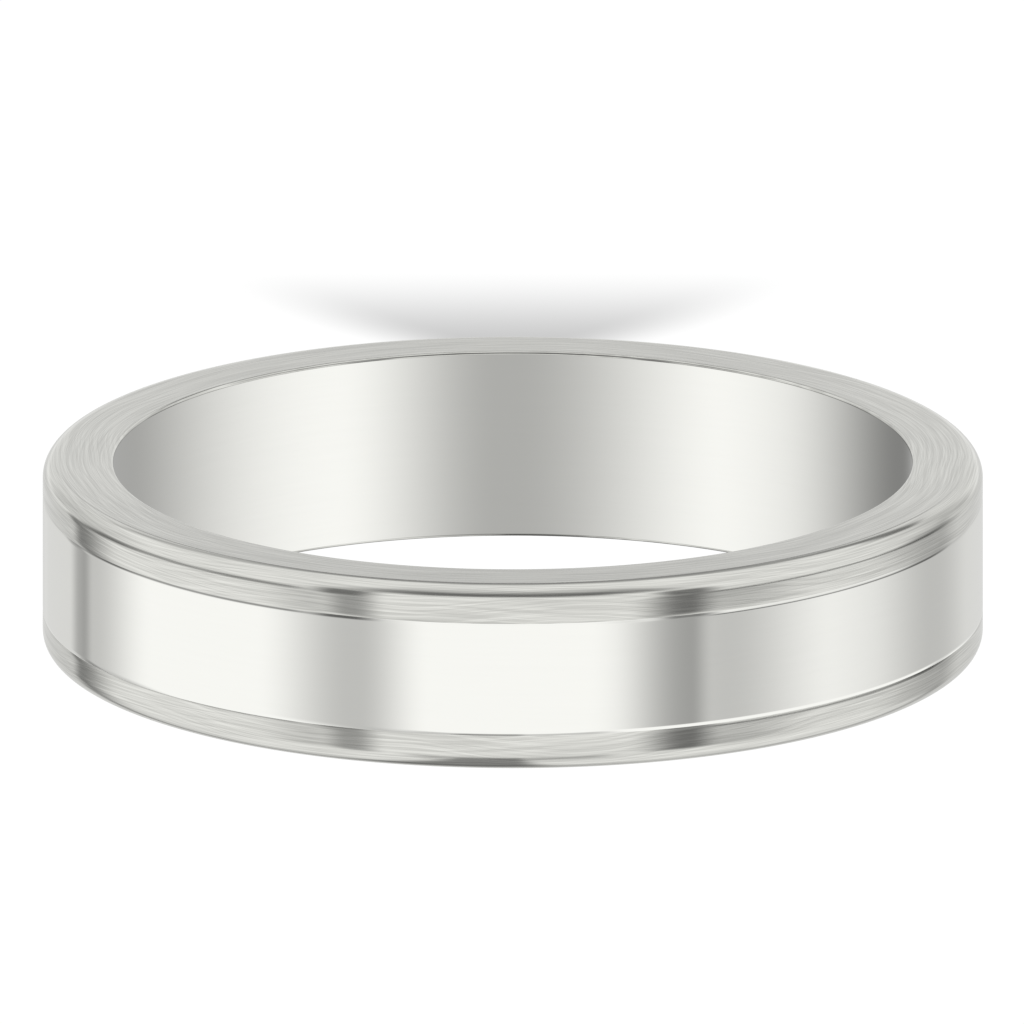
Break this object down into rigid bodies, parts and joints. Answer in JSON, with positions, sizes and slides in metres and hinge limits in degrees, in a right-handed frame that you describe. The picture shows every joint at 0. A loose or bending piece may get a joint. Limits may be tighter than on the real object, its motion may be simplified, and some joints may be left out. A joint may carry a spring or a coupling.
{
  "type": "wedding band",
  "caption": "Flat wedding band with a polished centre strip between satin edges, fine grooves at the seams, rounded shoulders and a straight polished bore.",
  "frame": {"origin": "centre of the bore at the lower side face, which the band lies on", "axes": "+Z along the bore axis, away from the lower side face; the band is the same all round, so +X and +Y are any two radii at right angles"},
  "size_m": [0.0224, 0.0224, 0.0046],
  "materials": {
    "polished_metal": "high polish white gold",
    "satin_metal": "fine satin brushed around the ring, white gold",
    "solder": "dull white gold solder, hidden inside"
  },
  "bodies": {
    "root": {"inner_sleeve": "polished_metal", "centre_band": "polished_metal", "lower_edge_ring": "satin_metal", "upper_edge_ring": "satin_metal", "lower_solder_ring": "solder", "upper_solder_ring": "solder"}
  },
  "joints": []
}
